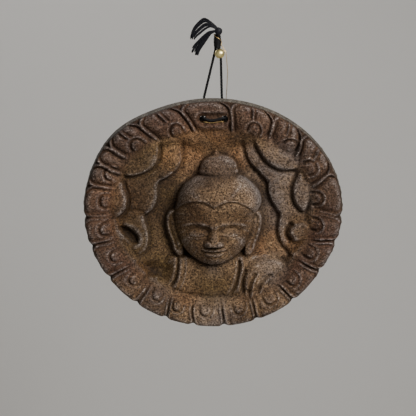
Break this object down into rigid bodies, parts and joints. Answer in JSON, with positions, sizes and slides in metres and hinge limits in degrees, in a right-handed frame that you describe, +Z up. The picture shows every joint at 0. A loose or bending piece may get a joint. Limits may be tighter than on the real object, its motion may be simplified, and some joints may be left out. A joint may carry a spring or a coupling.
{
  "type": "carved wall plaque",
  "caption": "Oval carved wooden wall plaque: a calm head in a sunk field between side scrolls and a lotus petal border, hung on a thin cord with a bead and a tassel.",
  "frame": {"origin": "middle of the small loop at the top of the cord, where the nail goes", "axes": "+X right and +Z up when seen from the front, +Y back towards the wall; the carved front faces -Y"},
  "size_m": [0.203, 0.0419, 0.2406],
  "materials": {
    "weathered_wood": "old dark red-brown wood, dry and dusty, with dark grooves",
    "black_cord": "matt black twisted cord",
    "gold_thread": "thin gold thread",
    "aged_brass": "dull aged brass",
    "black_wrapping": "tight black thread wrapping",
    "tassel_threads": "loose black threads"
  },
  "bodies": {
    "root": {"wooden_plaque": "weathered_wood", "hanging_cord": "black_cord", "gold_thread": "gold_thread", "brass_bead": "aged_brass", "wrapped_stem": "black_wrapping", "tassel": "tassel_threads"}
  },
  "joints": []
}
